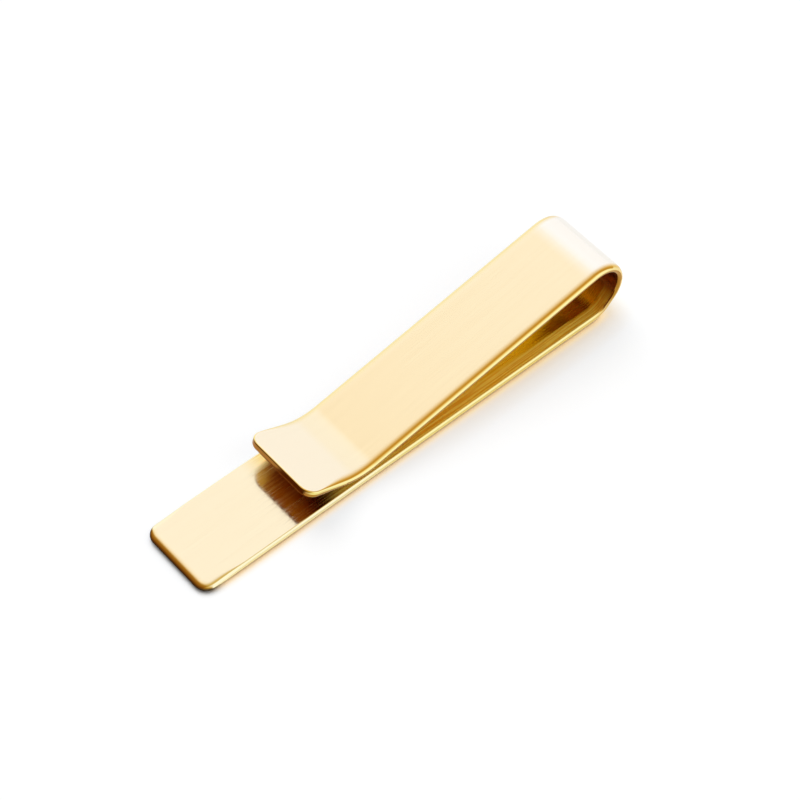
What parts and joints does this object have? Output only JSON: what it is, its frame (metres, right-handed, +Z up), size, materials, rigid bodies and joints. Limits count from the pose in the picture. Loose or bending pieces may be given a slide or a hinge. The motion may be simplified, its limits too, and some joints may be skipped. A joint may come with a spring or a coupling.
{
  "type": "tie clip",
  "caption": "Slide-on tie clip bent from a flat gold strip: a flat front bar, a teardrop loop that acts as the spring, and a sloping arm with a turned-up lip that pinches the cloth.",
  "frame": {"origin": "middle of the clip's length and width, on the underside of the front bar", "axes": "+X along the bar towards the loop, +Y across the strip, +Z up from the bar to the arm"},
  "size_m": [0.0556, 0.0094, 0.0078],
  "materials": {
    "strip": "gold plated, satin brushed along the strip, with polished rounded edges"
  },
  "bodies": {
    "bar": {"front_bar": "strip", "heel_bend": "strip", "loop_back": "strip", "crown_bend": "strip"},
    "arm": {"spring_arm": "strip", "pinch_bend": "strip", "lip": "strip"}
  },
  "joints": [
    {"name": "arm_flex", "type": "hinge", "parent": "bar", "child": "arm", "pos_m": [0.02347, 0, 0.00776], "axis": [0, 1, 0], "range_deg": [0, 9], "stiffness_Nm_per_rad": 2.2}
  ]
}
